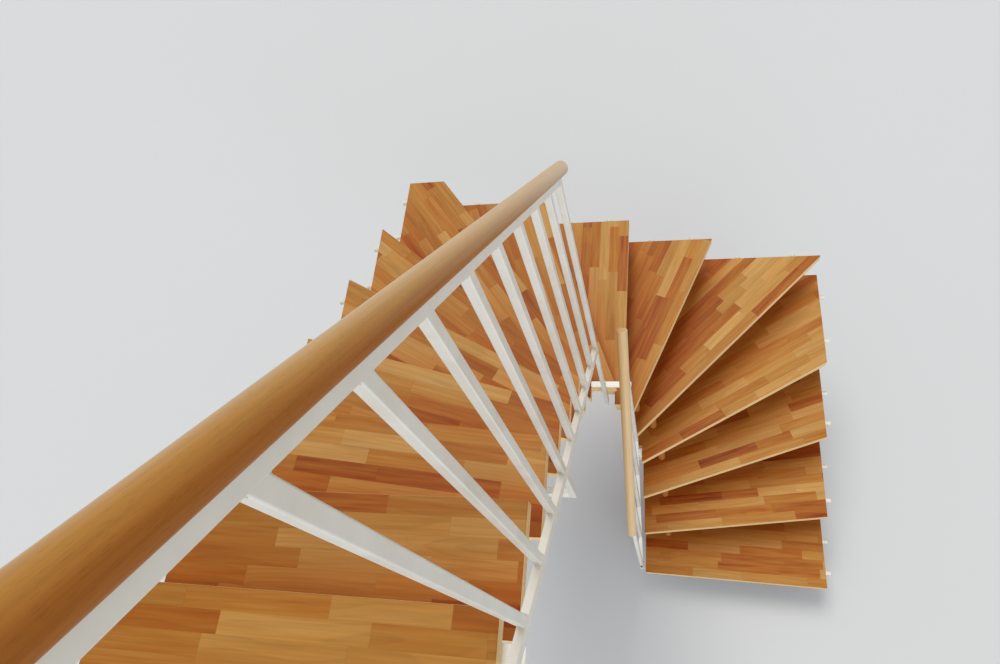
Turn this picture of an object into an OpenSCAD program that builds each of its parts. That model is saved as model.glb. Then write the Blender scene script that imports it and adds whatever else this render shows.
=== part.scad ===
// Half-turn winder stair with open risers and two balustrades
// The treads climb to the back on the right, turn left there and come
// forward again on the left, around a narrow open well.
// X runs to the right, Y to the back, Z up.
// The origin is the middle of the foot's underside, below the first tread.

/* [Stairwell] */
// Width of the open well between the two flights
well_w = 169; // [140:1:220]
// Distance from the treads to the outer faces of the side anchors
side_gap = 24; // [12:1:40]
// Distance from the treads to the outer faces of the back anchors
back_gap = 15; // [10:1:30]
// Depth of the turn, from the end of the well to the back ends of the treads
turn_depth = 922; // [880:1:1000]

/* [Treads] */
// Height from one tread to the next
riser = 185; // [160:1:200]
// Thickness of a tread
tread_t = 40; // [32:1:50]
// Length of the lower flight's treads
lower_w = 868; // [820:1:900]
// Length of the upper flight's treads
upper_w = 835; // [780:1:870]
// How far the back of a tread reaches under the next one
overlap = 45; // [40:1:60]
// Treads 5 to 7: how far the inner end reaches past the next nosing
turn_reach = 21; // [15:1:40]
// Treads 5 to 7: depth of the corner cut out beside the inner end
turn_cut = 60; // [40:1:80]
// Depth of the top tread
top_depth = 244; // [220:1:280]

/* [Nosing lines] */
// Treads 1 to 4: inner ends in front of the end of the well
lower_in = [499, 337, 200, 79]; // [0:1:1500]
// Treads 1 to 4: outer ends in front of the back edge
lower_out = [1446, 1140, 798, 486]; // [0:1:1500]
// Treads 5 to 8: inner ends across the well, from the lower flight
turn_in = [11, 40, 55, 70]; // [0:1:150]
// Treads 5 to 7: back ends, from the lower flight's outer ends
turn_out_right = [9, 526, 910]; // [0:1:1500]
// Tread 9: inner end across the well, from the upper flight
turn_in_left = 17; // [5:1:40]
// Treads 8 and 9: back ends, from the upper flight's outer ends
turn_out_left = [586, 161]; // [0:1:1500]
// Treads 10 to 15: inner ends in front of the end of the well
upper_in = [113, 235, 347, 506, 711, 949]; // [0:1:1500]
// Treads 10 to 15: outer ends in front of the back edge
upper_out = [374, 723, 1053, 1350, 1633, 1871]; // [0:1:2000]

/* [Step bolts] */
// Distance of a step bolt from the inner end of its nosing
bolt_in = 120; // [110:1:135]
// Distance of a step bolt behind its nosing
bolt_back = 27; // [25:1:30]
// Diameter of the beech sleeve between two treads
sleeve_d = 34; // [24:1:36]
// Diameter of the stud inside the sleeve
stud_d = 12; // [8:1:16]
// How far the stud screws into the tread above
stud_bite = 28; // [15:1:30]
// Diameter of the washer under a tread
washer_d = 28; // [22:1:30]
// Thickness of the washer
washer_t = 3; // [2:0.5:5]
// Width across the corners of the nut
nut_d = 22; // [18:1:26]
// Height of the nut
nut_t = 10; // [6:1:14]

/* [Anchors] */
// Diameter of the anchor's flange
flange_d = 24; // [22:1:38]
// Thickness of the flange
flange_t = 3; // [2:0.5:8]
// Diameter of the collar between the flange and the tread
collar_d = 20; // [17:1:30]
// Diameter of the pin in the tread
pin_d = 14; // [10:1:16]
// How far the pin reaches into the tread
pin_depth = 60; // [40:1:80]

/* [Foot] */
// Distance of the foot from the inner end of the first tread
foot_in = 60; // [56:1:100]
// Distance of the foot behind the first nosing
foot_back = 110; // [95:1:125]
// Diameter of the foot's plate
base_d = 110; // [100:1:140]
// Thickness of the foot's plate
base_t = 8; // [5:1:12]
// Diameter of the circle of screw holes in the foot's plate
base_pcd = 84; // [76:1:90]
// Diameter of a screw hole in the foot's plate
base_hole_d = 9; // [6:0.5:11]
// Number of screw holes in the foot's plate
base_holes = 4; // [3:1:6]
// Diameter of the foot's tube
foot_d = 42; // [34:1:50]
// Diameter of the plate under the first tread
head_d = 80; // [60:1:90]
// Thickness of the plate under the first tread
head_t = 5; // [4:1:8]

/* [Balustrades] */
// Height of the handrail's axis over the nosing
rail_h = 974; // [900:1:1050]
// Diameter of the handrails
rail_d = 36.5; // [34:0.5:45]
// Thickness of the steel bars across the well
bar_t = 17; // [14:1:22]
// Width of the upright bars along the flight
post_w = 20; // [14:1:24]
// Thickness of the flat bar that carries the handrail
top_bar_h = 18; // [12:1:22]
// Depth of the groove under the handrail
groove = 4; // [2:0.5:6]
// Height of the bottom bar, square to its length
bottom_bar_h = 26; // [18:1:35]
// Height of the last upright bar's foot below the eighth tread
foot_drop = 90; // [10:1:120]

/* [Lower balustrade] */
// Gap between the lower balustrade and the tread ends
lower_gap = 13; // [6:0.5:18]
// Distance of the first upright bar behind the first nosing
lower_start = 27; // [20:1:40]
// Number of upright bars
lower_posts = 5; // [4:1:7]
// Lower edge of the bottom bar below the nosing line
lower_base = 70; // [40:1:90]
// How far the handrail runs past the end bars
lower_over = 25; // [10:1:40]

/* [Upper balustrade] */
// Gap between the upper balustrade and the tread ends
upper_gap = 44; // [30:0.5:55]
// Pitch angle of the upper balustrade
upper_pitch = 44.8; // [42:0.1:48]
// Spacing of the upright bars
upper_step = 120.3; // [110:0.1:124]
// Number of upright bars
upper_posts = 10; // [9:1:10]
// Lower edge of the bottom bar below the nosing of the top tread
upper_base = 4; // [-30:1:40]
// How far the handrail runs past the end bars
upper_over = 50; // [20:1:80]

/* [Brackets] */
// Thickness of the bracket plates
plate_t = 6; // [4:1:8]
// Width of the bracket plates
plate_w = 30; // [24:1:40]
// How far a bracket plate reaches under its tread
plate_reach = 70; // [50:1:90]
// Depth of the top bracket along the flight
top_plate_l = 98; // [70:1:105]
// Thickness of the end bar on the eighth tread
end_bar_t = 8; // [5:1:12]
// Width of the end bar
end_bar_w = 24; // [20:1:35]
// Height of the middle bracket's arm
arm_h = 28; // [20:1:35]
// Drop of the arm's underside below the thirteenth tread
arm_drop = 116; // [80:1:130]
// Size of the square plate under the thirteenth tread
arm_plate = 60; // [40:1:70]
// Width of the lug
lug_w = 20; // [14:1:26]
// Distance of the lug's middle in front of the end of the well
lug_front = 48; // [36:1:56]
// Distance from the top tread to the outer face of its angle
landing_gap = 15; // [8:1:25]
// Leg length of the top tread's angle
angle_leg = 60; // [45:1:75]
// Thickness of the top tread's angle
angle_t = 5; // [4:1:8]
// Distance of the angle's ends from the tread's ends
angle_end = 150; // [130:1:220]
// Distance between the angle's two screw holes
angle_hole_gap = 400; // [200:5:440]
// Diameter of the angle's screw holes
angle_hole_d = 9; // [6:0.5:11]

/* [Hidden] */
$fn = 48;

// Number of treads, and the treads at which the flights change
treads = 15;
first_turn = 5;
last_turn = 8;
first_left = last_turn + 1;
first_upper = first_left + 1;
// Tread above the middle bracket, and the upright bar that the bracket holds
arm_tread = 13;
arm_post = upper_posts - 6;
// Radial clearance of a stud or pin in its hole, and the room past its end
fit = 0.5;
end_room = 2;
// Length of stud below the nut
stud_end = 2;
// Clearance of a handrail's groove around its bar
groove_fit = 0.2;
// Reach of cutting shapes past what they cut
past = 60;
far = 700;

// Planes of the stairwell
lower_in_x = -foot_in;
lower_out_x = lower_in_x + lower_w;
right_wall_x = lower_out_x + side_gap;
upper_in_x = lower_in_x - well_w;
upper_out_x = upper_in_x - upper_w;
left_wall_x = upper_out_x - side_gap;
well_y = lower_in[0] - foot_back;
back_y = well_y + turn_depth;
back_wall_y = back_y + back_gap;
top_y = well_y - upper_in[treads - first_upper] - top_depth;
landing_y = top_y - landing_gap;

// Height of the top face of tread k
function level(k) = k * riser;

// Where the nosing of tread k meets the inner side of the stair
function nose_in(k) =
  k < first_turn ? [lower_in_x, well_y - lower_in[k - 1]] :
  k < first_left ? [lower_in_x - turn_in[k - first_turn], well_y] :
  k < first_upper ? [upper_in_x + turn_in_left, well_y] :
  k <= treads ? [upper_in_x, well_y - upper_in[k - first_upper]] :
  [upper_in_x, top_y + overlap];

// Where the nosing of tread k meets the outer side of the stair
function nose_out(k) =
  k < first_turn ? [lower_out_x, back_y - lower_out[k - 1]] :
  k < last_turn ? [lower_out_x - turn_out_right[k - first_turn], back_y] :
  k < first_upper ? [upper_out_x + turn_out_left[k - last_turn], back_y] :
  k <= treads ? [upper_out_x, back_y - upper_out[k - first_upper]] :
  [upper_out_x, top_y + overlap];

// Direction along a nosing from its inner end, and square to it, up the stair
function along(k) = (nose_out(k) - nose_in(k)) / norm(nose_out(k) - nose_in(k));
function behind(k) = [-along(k)[1], along(k)[0]];

// Plan position of the bolt that joins tread k to the next one
function bolt_xy(k) =
  nose_in(k + 1) + bolt_in * along(k + 1) + bolt_back * behind(k + 1);

// Ends of the outer edge of tread k
function edge_start(k) = k == first_left ? [upper_out_x, back_y] : nose_out(k);
function edge_end(k) =
  k == first_turn - 1 ? [lower_out_x, back_y] :
  k == treads ? [upper_out_x, top_y] : nose_out(k + 1);

// Plan positions of the two anchors of tread k
function anchor_xy(k, share) = edge_start(k) + share * (edge_end(k) - edge_start(k));
anchor_shares = [0.25, 0.75];

// Middle height of tread k
function middle(k) = level(k) - tread_t / 2;

// Slopes of the two balustrades, as height gained along Y
lower_slope = (first_turn - 1) * riser / lower_in[0];
upper_slope = -tan(upper_pitch);
lower_pitch = atan(lower_slope);

// Middle planes of the balustrades
lower_x = lower_in_x - lower_gap - bar_t / 2;
upper_x = upper_in_x + upper_gap + bar_t / 2;

// Front faces of the balustrades' upright bars, from front to back
lower_first_y = nose_in(1)[1] + lower_start;
lower_last_y = well_y - post_w;
lower_step = (lower_last_y - lower_first_y) / (lower_posts - 1);
upper_last_y = well_y - post_w;
upper_first_y = upper_last_y - (upper_posts - 1) * upper_step;
middle_post_y = upper_first_y + arm_post * upper_step;

// Heights above the nosing lines of the two balustrades
function lower_line(y) = level(1) + lower_slope * (y - nose_in(1)[1]);
function upper_line(y) = level(treads) + upper_slope * (y - nose_in(treads)[1]);

// Upright heights of the bottom bars, and drops from a handrail's axis to its bar's middle
lower_bar_v = bottom_bar_h / cos(lower_pitch);
upper_bar_v = bottom_bar_h / cos(upper_pitch);
lower_drop = (rail_d / 2 - groove + top_bar_h / 2) / cos(lower_pitch);
upper_drop = (rail_d / 2 - groove + top_bar_h / 2) / cos(upper_pitch);

// Underside of tread k
function under(k) = level(k) - tread_t;

// Plan of the stair without the well, one tread thick
module footprint() {
  difference() {
    translate([upper_out_x, top_y, 0])
      cube([lower_out_x - upper_out_x, back_y - top_y, tread_t]);
    translate([upper_in_x, top_y - past, -past])
      cube([lower_in_x - upper_in_x, well_y - top_y + past, tread_t + 2 * past]);
  }
}

// Strip between nosing k and the line that lies one overlap behind nosing k + 1
module strip(k) {
  shift = overlap * behind(k + 1);
  linear_extrude(tread_t)
    polygon([
      nose_in(k) - past * along(k),
      nose_out(k) + far * along(k),
      nose_out(k + 1) + far * along(k + 1) + shift,
      nose_in(k + 1) - past * along(k + 1) + shift
    ]);
}

// Corner cut out of tread k beside its inner end, left of the next nosing
module turn_corner(k) {
  translate([nose_in(k + 1)[0] - turn_reach - far, well_y - past, under(k) - past])
    cube([far, past + turn_cut, tread_t + 2 * past]);
}

// Hole for an anchor's pin, from a plan point on the tread's edge inwards
module pin_hole(p, z, turn) {
  translate([p[0], p[1], z])
    rotate(turn)
      cylinder(h = 2 * (pin_depth + end_room), d = pin_d + 2 * fit, center = true);
}

// Turn that lays a cylinder along the anchors of tread k
function wall_turn(k) =
  k < first_turn ? [0, -90, 0] :
  k < first_left ? [90, 0, 0] : [0, 90, 0];

module tread(k) {
  color("peru")
    difference() {
      translate([0, 0, under(k)])
        intersection() {
          footprint();
          strip(k);
        }
      if (k >= first_turn && k < last_turn)
        turn_corner(k);
      if (k < treads)
        translate([bolt_xy(k)[0], bolt_xy(k)[1], under(k) - past])
          cylinder(h = tread_t + 2 * past, d = stud_d + 2 * fit);
      if (k > 1)
        translate([bolt_xy(k - 1)[0], bolt_xy(k - 1)[1], under(k) - past])
          cylinder(h = past + stud_bite + end_room, d = stud_d + 2 * fit);
      for (share = anchor_shares)
        pin_hole(anchor_xy(k, share), middle(k), wall_turn(k));
    }
}

// Stud with a sleeve that holds tread k + 1 at its height over tread k
module step_bolt(k) {
  color("burlywood")
    translate([bolt_xy(k)[0], bolt_xy(k)[1], 0]) {
      translate([0, 0, level(k)])
        cylinder(h = riser - tread_t, d = sleeve_d);
      translate([0, 0, under(k) - washer_t - nut_t - stud_end])
        cylinder(h = riser + washer_t + nut_t + stud_end + stud_bite, d = stud_d);
      translate([0, 0, under(k) - washer_t])
        cylinder(h = washer_t, d = washer_d);
      translate([0, 0, under(k) - washer_t - nut_t])
        cylinder(h = nut_t, d = nut_d, $fn = 6);
    }
}

module floor_foot() {
  color("gainsboro") {
    difference() {
      cylinder(h = base_t, d = base_d);
      for (i = [0:base_holes - 1])
        rotate([0, 0, (i + 0.5) * 360 / base_holes])
          translate([base_pcd / 2, 0, -1])
            cylinder(h = base_t + 2, d = base_hole_d);
    }
    translate([0, 0, base_t - 1])
      cylinder(h = under(1) - base_t - head_t + 2, d = foot_d);
    translate([0, 0, under(1) - head_t])
      cylinder(h = head_t, d = head_d);
  }
}

// Anchor with its flange in the plane z = 0 and its pin along Z
module anchor(gap) {
  cylinder(h = flange_t, d = flange_d);
  cylinder(h = gap, d = collar_d);
  cylinder(h = gap + pin_depth, d = pin_d);
}

module right_wall_anchors() {
  color("white")
    for (k = [1:first_turn - 1], share = anchor_shares)
      translate([right_wall_x, anchor_xy(k, share)[1], middle(k)])
        rotate(wall_turn(k))
          anchor(side_gap);
}

module back_wall_anchors() {
  color("white")
    for (k = [first_turn:last_turn], share = anchor_shares)
      translate([anchor_xy(k, share)[0], back_wall_y, middle(k)])
        rotate(wall_turn(k))
          anchor(back_gap);
}

module left_wall_anchors() {
  color("white")
    for (k = [first_left:treads], share = anchor_shares)
      translate([left_wall_x, anchor_xy(k, share)[1], middle(k)])
        rotate(wall_turn(k))
          anchor(side_gap);
}

// Steel angle that the back of the top tread rests on
module landing_angle() {
  long = upper_w - 2 * angle_end;
  color("gainsboro")
    translate([(upper_out_x + upper_in_x) / 2, landing_y, under(treads)])
      difference() {
        union() {
          translate([-long / 2, 0, -angle_t])
            cube([long, angle_leg, angle_t]);
          translate([-long / 2, 0, -angle_leg])
            cube([long, angle_t, angle_leg]);
        }
        for (side = [-1, 1])
          translate([side * angle_hole_gap / 2, -1, -(angle_leg + angle_t) / 2])
            rotate([-90, 0, 0])
              cylinder(h = angle_t + 2, d = angle_hole_d);
      }
}

// Flat shape in Y and Z, as thick as the bars and centred on the plane x
module plate_at(x, wide) {
  translate([x - wide / 2, 0, 0])
    rotate([90, 0, 90])
      linear_extrude(wide)
        children();
}

// Outline of a sloping bar between two heights that follow a slope
module sloping(y0, y1, z0, slope, low, high) {
  rise = slope * (y1 - y0);
  polygon([[y0, z0 + low], [y1, z0 + low + rise], [y1, z0 + high + rise], [y0, z0 + high]]);
}

// Bar under a handrail, with room around it when it cuts the groove
module top_bar(x, y0, y1, z0, slope, pitch, room) {
  rise = cos(pitch);
  plate_at(x, bar_t + 2 * room)
    sloping(y0 - room, y1 + room, z0 - slope * room, slope,
      -(rail_d / 2 - groove + top_bar_h) / rise, -(rail_d / 2 - groove) / rise);
}

// Round handrail along a slope, with a groove for its bar
module handrail(x, y0, y1, z0, slope, pitch, over) {
  long = (y1 - y0 + 2 * over) / cos(pitch);
  start_y = slope > 0 ? y0 - over : y1 + over;
  lean = slope > 0 ? pitch - 90 : 90 - pitch;
  difference() {
    translate([x, start_y, z0 + slope * (start_y - y0)])
      rotate([lean, 0, 0])
        cylinder(h = long, d = rail_d, $fn = 64);
    top_bar(x, y0, y1, z0, slope, pitch, groove_fit);
  }
}

module lower_balustrade() {
  y0 = lower_first_y;
  y1 = well_y;
  rail_z = lower_line(y0) + rail_h;
  base_z = lower_line(y0) - lower_base;
  color("white") {
    top_bar(lower_x, y0, y1, rail_z, lower_slope, lower_pitch, 0);
    plate_at(lower_x, bar_t)
      sloping(y0, y1, base_z, lower_slope, 0, lower_bar_v);
    plate_at(lower_x, bar_t)
      for (i = [0:lower_posts - 1])
        translate([i * lower_step, 0])
          sloping(y0, y0 + post_w, i * lower_slope * lower_step, lower_slope,
            base_z + lower_bar_v / 2, rail_z - lower_drop);
    plate_at(lower_x, bar_t)
      translate([y0, under(1)])
        square([post_w, base_z + lower_bar_v / 2 - under(1)]);
  }
}

module lower_handrail() {
  color("burlywood")
    handrail(lower_x, lower_first_y, well_y, lower_line(lower_first_y) + rail_h,
      lower_slope, lower_pitch, lower_over);
}

// Plate that ties the first upright bar to the underside of the first tread
module lower_foot_bracket() {
  color("white")
    translate([lower_x - bar_t / 2, lower_first_y + (post_w - plate_w) / 2, under(1) - plate_t])
      cube([bar_t + lower_gap + plate_reach, plate_w, plate_t]);
}

// Block between the bottom bar and the end of the fourth tread
module lower_lug() {
  y = well_y - lug_front;
  base_z = under(first_turn - 1);
  color("white")
    translate([lower_x + bar_t / 2, y - lug_w / 2, base_z])
      cube([lower_gap, lug_w, lower_line(y) - lower_base + bottom_bar_h - base_z]);
}

module upper_balustrade() {
  y0 = upper_first_y;
  y1 = well_y;
  rail_z = upper_line(y0) + rail_h;
  base_z = upper_line(y0) - upper_base;
  color("white") {
    top_bar(upper_x, y0, y1, rail_z, upper_slope, upper_pitch, 0);
    plate_at(upper_x, bar_t)
      sloping(y0, y1, base_z, upper_slope, 0, upper_bar_v);
    plate_at(upper_x, bar_t)
      for (i = [0:upper_posts - 1])
        translate([i * upper_step, 0])
          sloping(y0, y0 + post_w, i * upper_slope * upper_step, upper_slope,
            base_z + upper_bar_v / 2, rail_z - upper_drop);
  }
}

// Upright bar from a height up to the underside of the sloping bottom bar
module upper_foot(y, low) {
  top = upper_line(y) - upper_base;
  plate_at(upper_x, bar_t)
    polygon([[y, low], [y + post_w, low], [y + post_w, top + upper_slope * post_w], [y, top]]);
}

// The three upright bars that run on below the bottom bar
module upper_feet() {
  color("white") {
    upper_foot(upper_first_y, under(treads) - plate_t);
    upper_foot(middle_post_y, under(arm_tread) - arm_drop);
    upper_foot(upper_last_y, under(last_turn) - foot_drop);
  }
}

module upper_handrail() {
  color("burlywood")
    handrail(upper_x, upper_first_y, well_y, upper_line(upper_first_y) + rail_h,
      upper_slope, upper_pitch, upper_over);
}

// Arm from the middle upright bar, with a hanger up to the thirteenth tread
module upper_middle_bracket() {
  arm_x = upper_in_x - arm_plate;
  arm_end = upper_x - bar_t / 2;
  high = under(arm_tread);
  color("white") {
    translate([arm_x - post_w / 2, middle_post_y, high - arm_drop])
      cube([arm_end - arm_x + post_w / 2, post_w, arm_h]);
    translate([arm_x - post_w / 2, middle_post_y, high - arm_drop])
      cube([post_w, post_w, arm_drop]);
    translate([arm_x - arm_plate / 2, middle_post_y + (post_w - arm_plate) / 2, high - plate_t])
      cube([arm_plate, arm_plate, plate_t]);
  }
}

// Plate under the top tread that carries the first upright bar
module upper_top_bracket() {
  left = upper_in_x - plate_reach;
  color("white")
    translate([left, upper_first_y, under(treads) - plate_t])
      cube([upper_x - bar_t / 2 - left, top_plate_l, plate_t]);
}

// Flat bar on the eighth tread that ties the two balustrades together
module well_end_bar() {
  color("white")
    translate([upper_in_x, well_y, level(last_turn)])
      cube([lower_x + bar_t / 2 - upper_in_x, end_bar_w, end_bar_t]);
}

tread(1);  // tread_1
tread(2);  // tread_2
tread(3);  // tread_3
tread(4);  // tread_4
tread(5);  // tread_5
tread(6);  // tread_6
tread(7);  // tread_7
tread(8);  // tread_8
tread(9);  // tread_9
tread(10);  // tread_10
tread(11);  // tread_11
tread(12);  // tread_12
tread(13);  // tread_13
tread(14);  // tread_14
tread(15);  // tread_15
step_bolt(1);  // step_bolt_1
step_bolt(2);  // step_bolt_2
step_bolt(3);  // step_bolt_3
step_bolt(4);  // step_bolt_4
step_bolt(5);  // step_bolt_5
step_bolt(6);  // step_bolt_6
step_bolt(7);  // step_bolt_7
step_bolt(8);  // step_bolt_8
step_bolt(9);  // step_bolt_9
step_bolt(10);  // step_bolt_10
step_bolt(11);  // step_bolt_11
step_bolt(12);  // step_bolt_12
step_bolt(13);  // step_bolt_13
step_bolt(14);  // step_bolt_14
floor_foot();
right_wall_anchors();
back_wall_anchors();
left_wall_anchors();
landing_angle();
lower_balustrade();
lower_handrail();
lower_foot_bracket();
lower_lug();
upper_balustrade();
upper_feet();
upper_handrail();
upper_middle_bracket();
upper_top_bracket();
well_end_bar();
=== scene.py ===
import math
import bmesh
import bpy
import numpy as np
from mathutils import Matrix, Vector


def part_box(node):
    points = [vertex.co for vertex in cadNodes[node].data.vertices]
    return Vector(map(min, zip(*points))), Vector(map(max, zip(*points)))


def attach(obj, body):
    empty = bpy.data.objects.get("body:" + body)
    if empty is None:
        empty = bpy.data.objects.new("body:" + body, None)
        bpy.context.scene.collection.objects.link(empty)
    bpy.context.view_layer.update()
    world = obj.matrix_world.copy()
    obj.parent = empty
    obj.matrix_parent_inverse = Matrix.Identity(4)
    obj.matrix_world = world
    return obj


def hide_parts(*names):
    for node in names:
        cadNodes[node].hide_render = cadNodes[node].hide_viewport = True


# Half-turn winder stair: beech treads, white steel balustrades, round beech rails.
# Metres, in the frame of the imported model: X right, Y to the back, Z up.

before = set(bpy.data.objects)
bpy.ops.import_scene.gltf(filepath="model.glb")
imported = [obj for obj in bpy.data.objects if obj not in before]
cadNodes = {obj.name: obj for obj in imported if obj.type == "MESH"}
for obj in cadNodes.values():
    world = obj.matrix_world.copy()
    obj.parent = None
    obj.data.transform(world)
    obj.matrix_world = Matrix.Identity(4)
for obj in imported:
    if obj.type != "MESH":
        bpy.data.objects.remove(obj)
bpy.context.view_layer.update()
print("stair: frame in,", len(cadNodes), "nodes")

# the model's own measures that several pieces share
treadCount = 15
riser = 0.185
treadThick = 0.040
plateThick = 0.006

# mesh helpers


# a CAD node's points, as rows of X, Y and Z
def cadPoints(node):
    mesh = cadNodes[node].data
    points = np.empty(len(mesh.vertices) * 3, np.float32)
    mesh.vertices.foreach_get("co", points)
    return points.reshape(-1, 3).astype(float)


# an object for a mesh, a lamp or a camera, in the scene
def addObject(name, data):
    thing = bpy.data.objects.new(name, data)
    bpy.context.scene.collection.objects.link(thing)
    return thing


roundings = {
    "hold": 0.0006,        # a point this close to a rounding keeps the flat beside it shaded flat
    "barHold": 0.0003,
    "slabHold": 0.0004,
    "rodHold": 0.0005,
    "endHold": 0.001,
    "arcShare": 0.42,      # an arc takes no more than this share of its shorter side
    "holdShare": 0.05,
    "endDraw": 0.0008,     # how far the sides of an upright are drawn in at its ends
}


# one closed shell from a stack of rings: quads between neighbours, a flat cap at each end
def shellFaces(ringCount, pointCount, first):
    ring = np.arange(ringCount - 1)[:, None] * pointCount
    point = np.arange(pointCount)[None, :]
    after = (point + 1) % pointCount
    quads = np.stack([ring + point, ring + after, ring + pointCount + after, ring + pointCount + point], -1)
    return (quads.reshape(-1, 4) + first).tolist(), [
        (np.arange(pointCount)[::-1] + first).tolist(),
        (np.arange(pointCount) + (ringCount - 1) * pointCount + first).tolist()]


# turns a shell right side out: its volume, added up face by face, has to be positive
def outward(shell):
    local = shell - shell.reshape(-1, 3).mean(0)
    a, b = local, np.roll(local, -1, 1)
    sides = (np.cross(b[:-1], b[1:]) * a[:-1]).sum() + (np.cross(b[1:], a[1:]) * a[:-1]).sum()
    caps = (np.cross(a[-1], b[-1]) * a[-1, :1]).sum() - (np.cross(a[0], b[0]) * a[0, :1]).sum()
    return shell if sides + caps > 0 else shell[:, ::-1]


# one object of several shells, arrays of rings x points x 3; grain holds each point's place in
# the board that it is cut from, and marks hold one number a point
def buildPiece(name, shells, material, grain=None, marks=None):
    sides, caps, first = [], [], 0
    for shell in shells:
        quads, ends = shellFaces(shell.shape[0], shell.shape[1], first)
        sides += quads
        caps += ends
        first += shell.shape[0] * shell.shape[1]
    mesh = bpy.data.meshes.new(name)
    mesh.from_pydata(np.concatenate([s.reshape(-1, 3) for s in shells]).tolist(), [], sides + caps)
    smooth = np.zeros(len(mesh.polygons), bool)
    smooth[:len(sides)] = True
    mesh.polygons.foreach_set("use_smooth", smooth)
    if grain is not None:
        board = mesh.attributes.new("board", "FLOAT_VECTOR", "POINT")
        board.data.foreach_set("vector", np.ascontiguousarray(grain, np.float32).ravel())
    for mark, values in (marks or {}).items():
        layer = mesh.attributes.new(mark, "FLOAT", "POINT")
        layer.data.foreach_set("value", np.ascontiguousarray(values, np.float32))
    mesh.materials.append(material)
    piece = addObject(name, mesh)
    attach(piece, "root")
    return piece


# rounds a plan outline: every corner becomes an arc of the given radius, with a point close to
# both its ends so that the straight sides keep their flat shading
def softOutline(corners, radius, steps=5, hold=roundings["hold"]):
    before = np.roll(corners, 1, 0) - corners
    after = np.roll(corners, -1, 0) - corners
    shortest = np.minimum(np.linalg.norm(before, axis=1), np.linalg.norm(after, axis=1))
    before /= np.linalg.norm(before, axis=1)[:, None]
    after /= np.linalg.norm(after, axis=1)[:, None]
    half = np.arccos(np.clip((before * after).sum(1), -1, 1)) / 2
    radius = np.minimum(radius, roundings["arcShare"] * shortest * np.tan(half))
    hold = np.minimum(hold, roundings["holdShare"] * shortest)[:, None]
    reach = radius / np.tan(half)
    middle = before + after
    middle /= np.linalg.norm(middle, axis=1)[:, None]
    centre = corners + middle * (radius / np.sin(half))[:, None]
    start = corners + before * reach[:, None]
    end = corners + after * reach[:, None]
    a, b = start - centre, end - centre
    angle = np.arctan2(a[:, 0] * b[:, 1] - a[:, 1] * b[:, 0], (a * b).sum(1))
    turn = np.linspace(0, 1, steps)[None, :] * angle[:, None]
    arc = centre[:, None] + np.stack([
        a[:, None, 0] * np.cos(turn) - a[:, None, 1] * np.sin(turn),
        a[:, None, 0] * np.sin(turn) + a[:, None, 1] * np.cos(turn)], -1)
    first = start + before * hold
    last = end + after * hold
    return np.concatenate([first[:, None], arc, last[:, None]], 1).reshape(-1, 2)


# moves a closed counterclockwise outline inwards by the same distance everywhere
def insetOutline(outline, distance):
    back = outline - np.roll(outline, 1, 0)
    on = np.roll(outline, -1, 0) - outline
    back /= np.linalg.norm(back, axis=1)[:, None]
    on /= np.linalg.norm(on, axis=1)[:, None]
    normal = np.stack([-back[:, 1] - on[:, 1], back[:, 0] + on[:, 0]], -1)
    normal /= (1 + (back * on).sum(1))[:, None]
    return outline + normal * distance


# board or plate with rounded arrises: the outline carried up, drawn in by a quarter round at
# the bottom and at the top
def slabShell(corners, low, high, arris, corner, steps=5):
    outline = softOutline(corners, corner)
    turn = np.linspace(0, math.pi / 2, steps)
    inset = arris * (1 - np.sin(turn))
    rise = arris * (1 - np.cos(turn))
    insets = np.concatenate([inset, [0, 0], inset[::-1]])
    hold = roundings["slabHold"]
    heights = np.concatenate([low + rise, [low + arris + hold, high - arris - hold], high - rise[::-1]])
    rings = np.stack([insetOutline(outline, d) for d in insets])
    heights = np.broadcast_to(heights[:, None, None], rings.shape[:2] + (1,))
    return outward(np.concatenate([rings, heights], -1))


# straight rod: a closed profile in the plane square to the axis, with its ends drawn in a little
def rodShell(profile, start, end, across, over, rounding, reach, steps=4):
    start, end, across, over = (np.array(v, float) for v in (start, end, across, over))
    axis = end - start
    length = np.linalg.norm(axis)
    axis /= length
    turn = np.linspace(0, math.pi / 2, steps)
    along = rounding * (1 - np.cos(turn))
    shrink = 1 - rounding * (1 - np.sin(turn)) / reach
    hold = roundings["rodHold"]
    stations = np.concatenate([along, [rounding + hold, length - rounding - hold], length - along[::-1]])
    scales = np.concatenate([shrink, [1, 1], shrink[::-1]])
    flat = profile[None] * scales[:, None, None]
    return outward(start + stations[:, None, None] * axis + flat[..., :1] * across + flat[..., 1:] * over)


# rectangle with rounded corners, counterclockwise
def barProfile(wide, high, radius):
    corners = np.array([[-wide, -high], [wide, -high], [wide, high], [-wide, high]]) / 2
    return softOutline(corners, radius, 4, roundings["barHold"])


# flat bar that runs along Y on a slope and is cut upright at its ends: the profile in X and Z
# rides up by slope times the way along Y
def slopedBar(x, y0, y1, low, high, slope, wide, arris):
    profile = barProfile(wide, high - low, arris)
    turn = np.linspace(0, math.pi / 2, 3)
    soft = arris / 2
    hold = roundings["slabHold"]
    along = soft * (1 - np.cos(turn))
    shrink = soft * (1 - np.sin(turn))
    span = y1 - y0
    ways = np.concatenate([along, [soft + hold, span - soft - hold], span - along[::-1]])
    drawIn = np.concatenate([shrink, [0, 0], shrink[::-1]])
    half = np.array([wide, high - low]) / 2
    flat = profile[None] * (1 - drawIn[:, None, None] / half)
    shell = np.empty(flat.shape[:2] + (3,))
    shell[..., 0] = x - flat[..., 0]
    shell[..., 1] = y0 + ways[:, None]
    shell[..., 2] = (low + high) / 2 + slope * ways[:, None] + flat[..., 1]
    return outward(shell)


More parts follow.
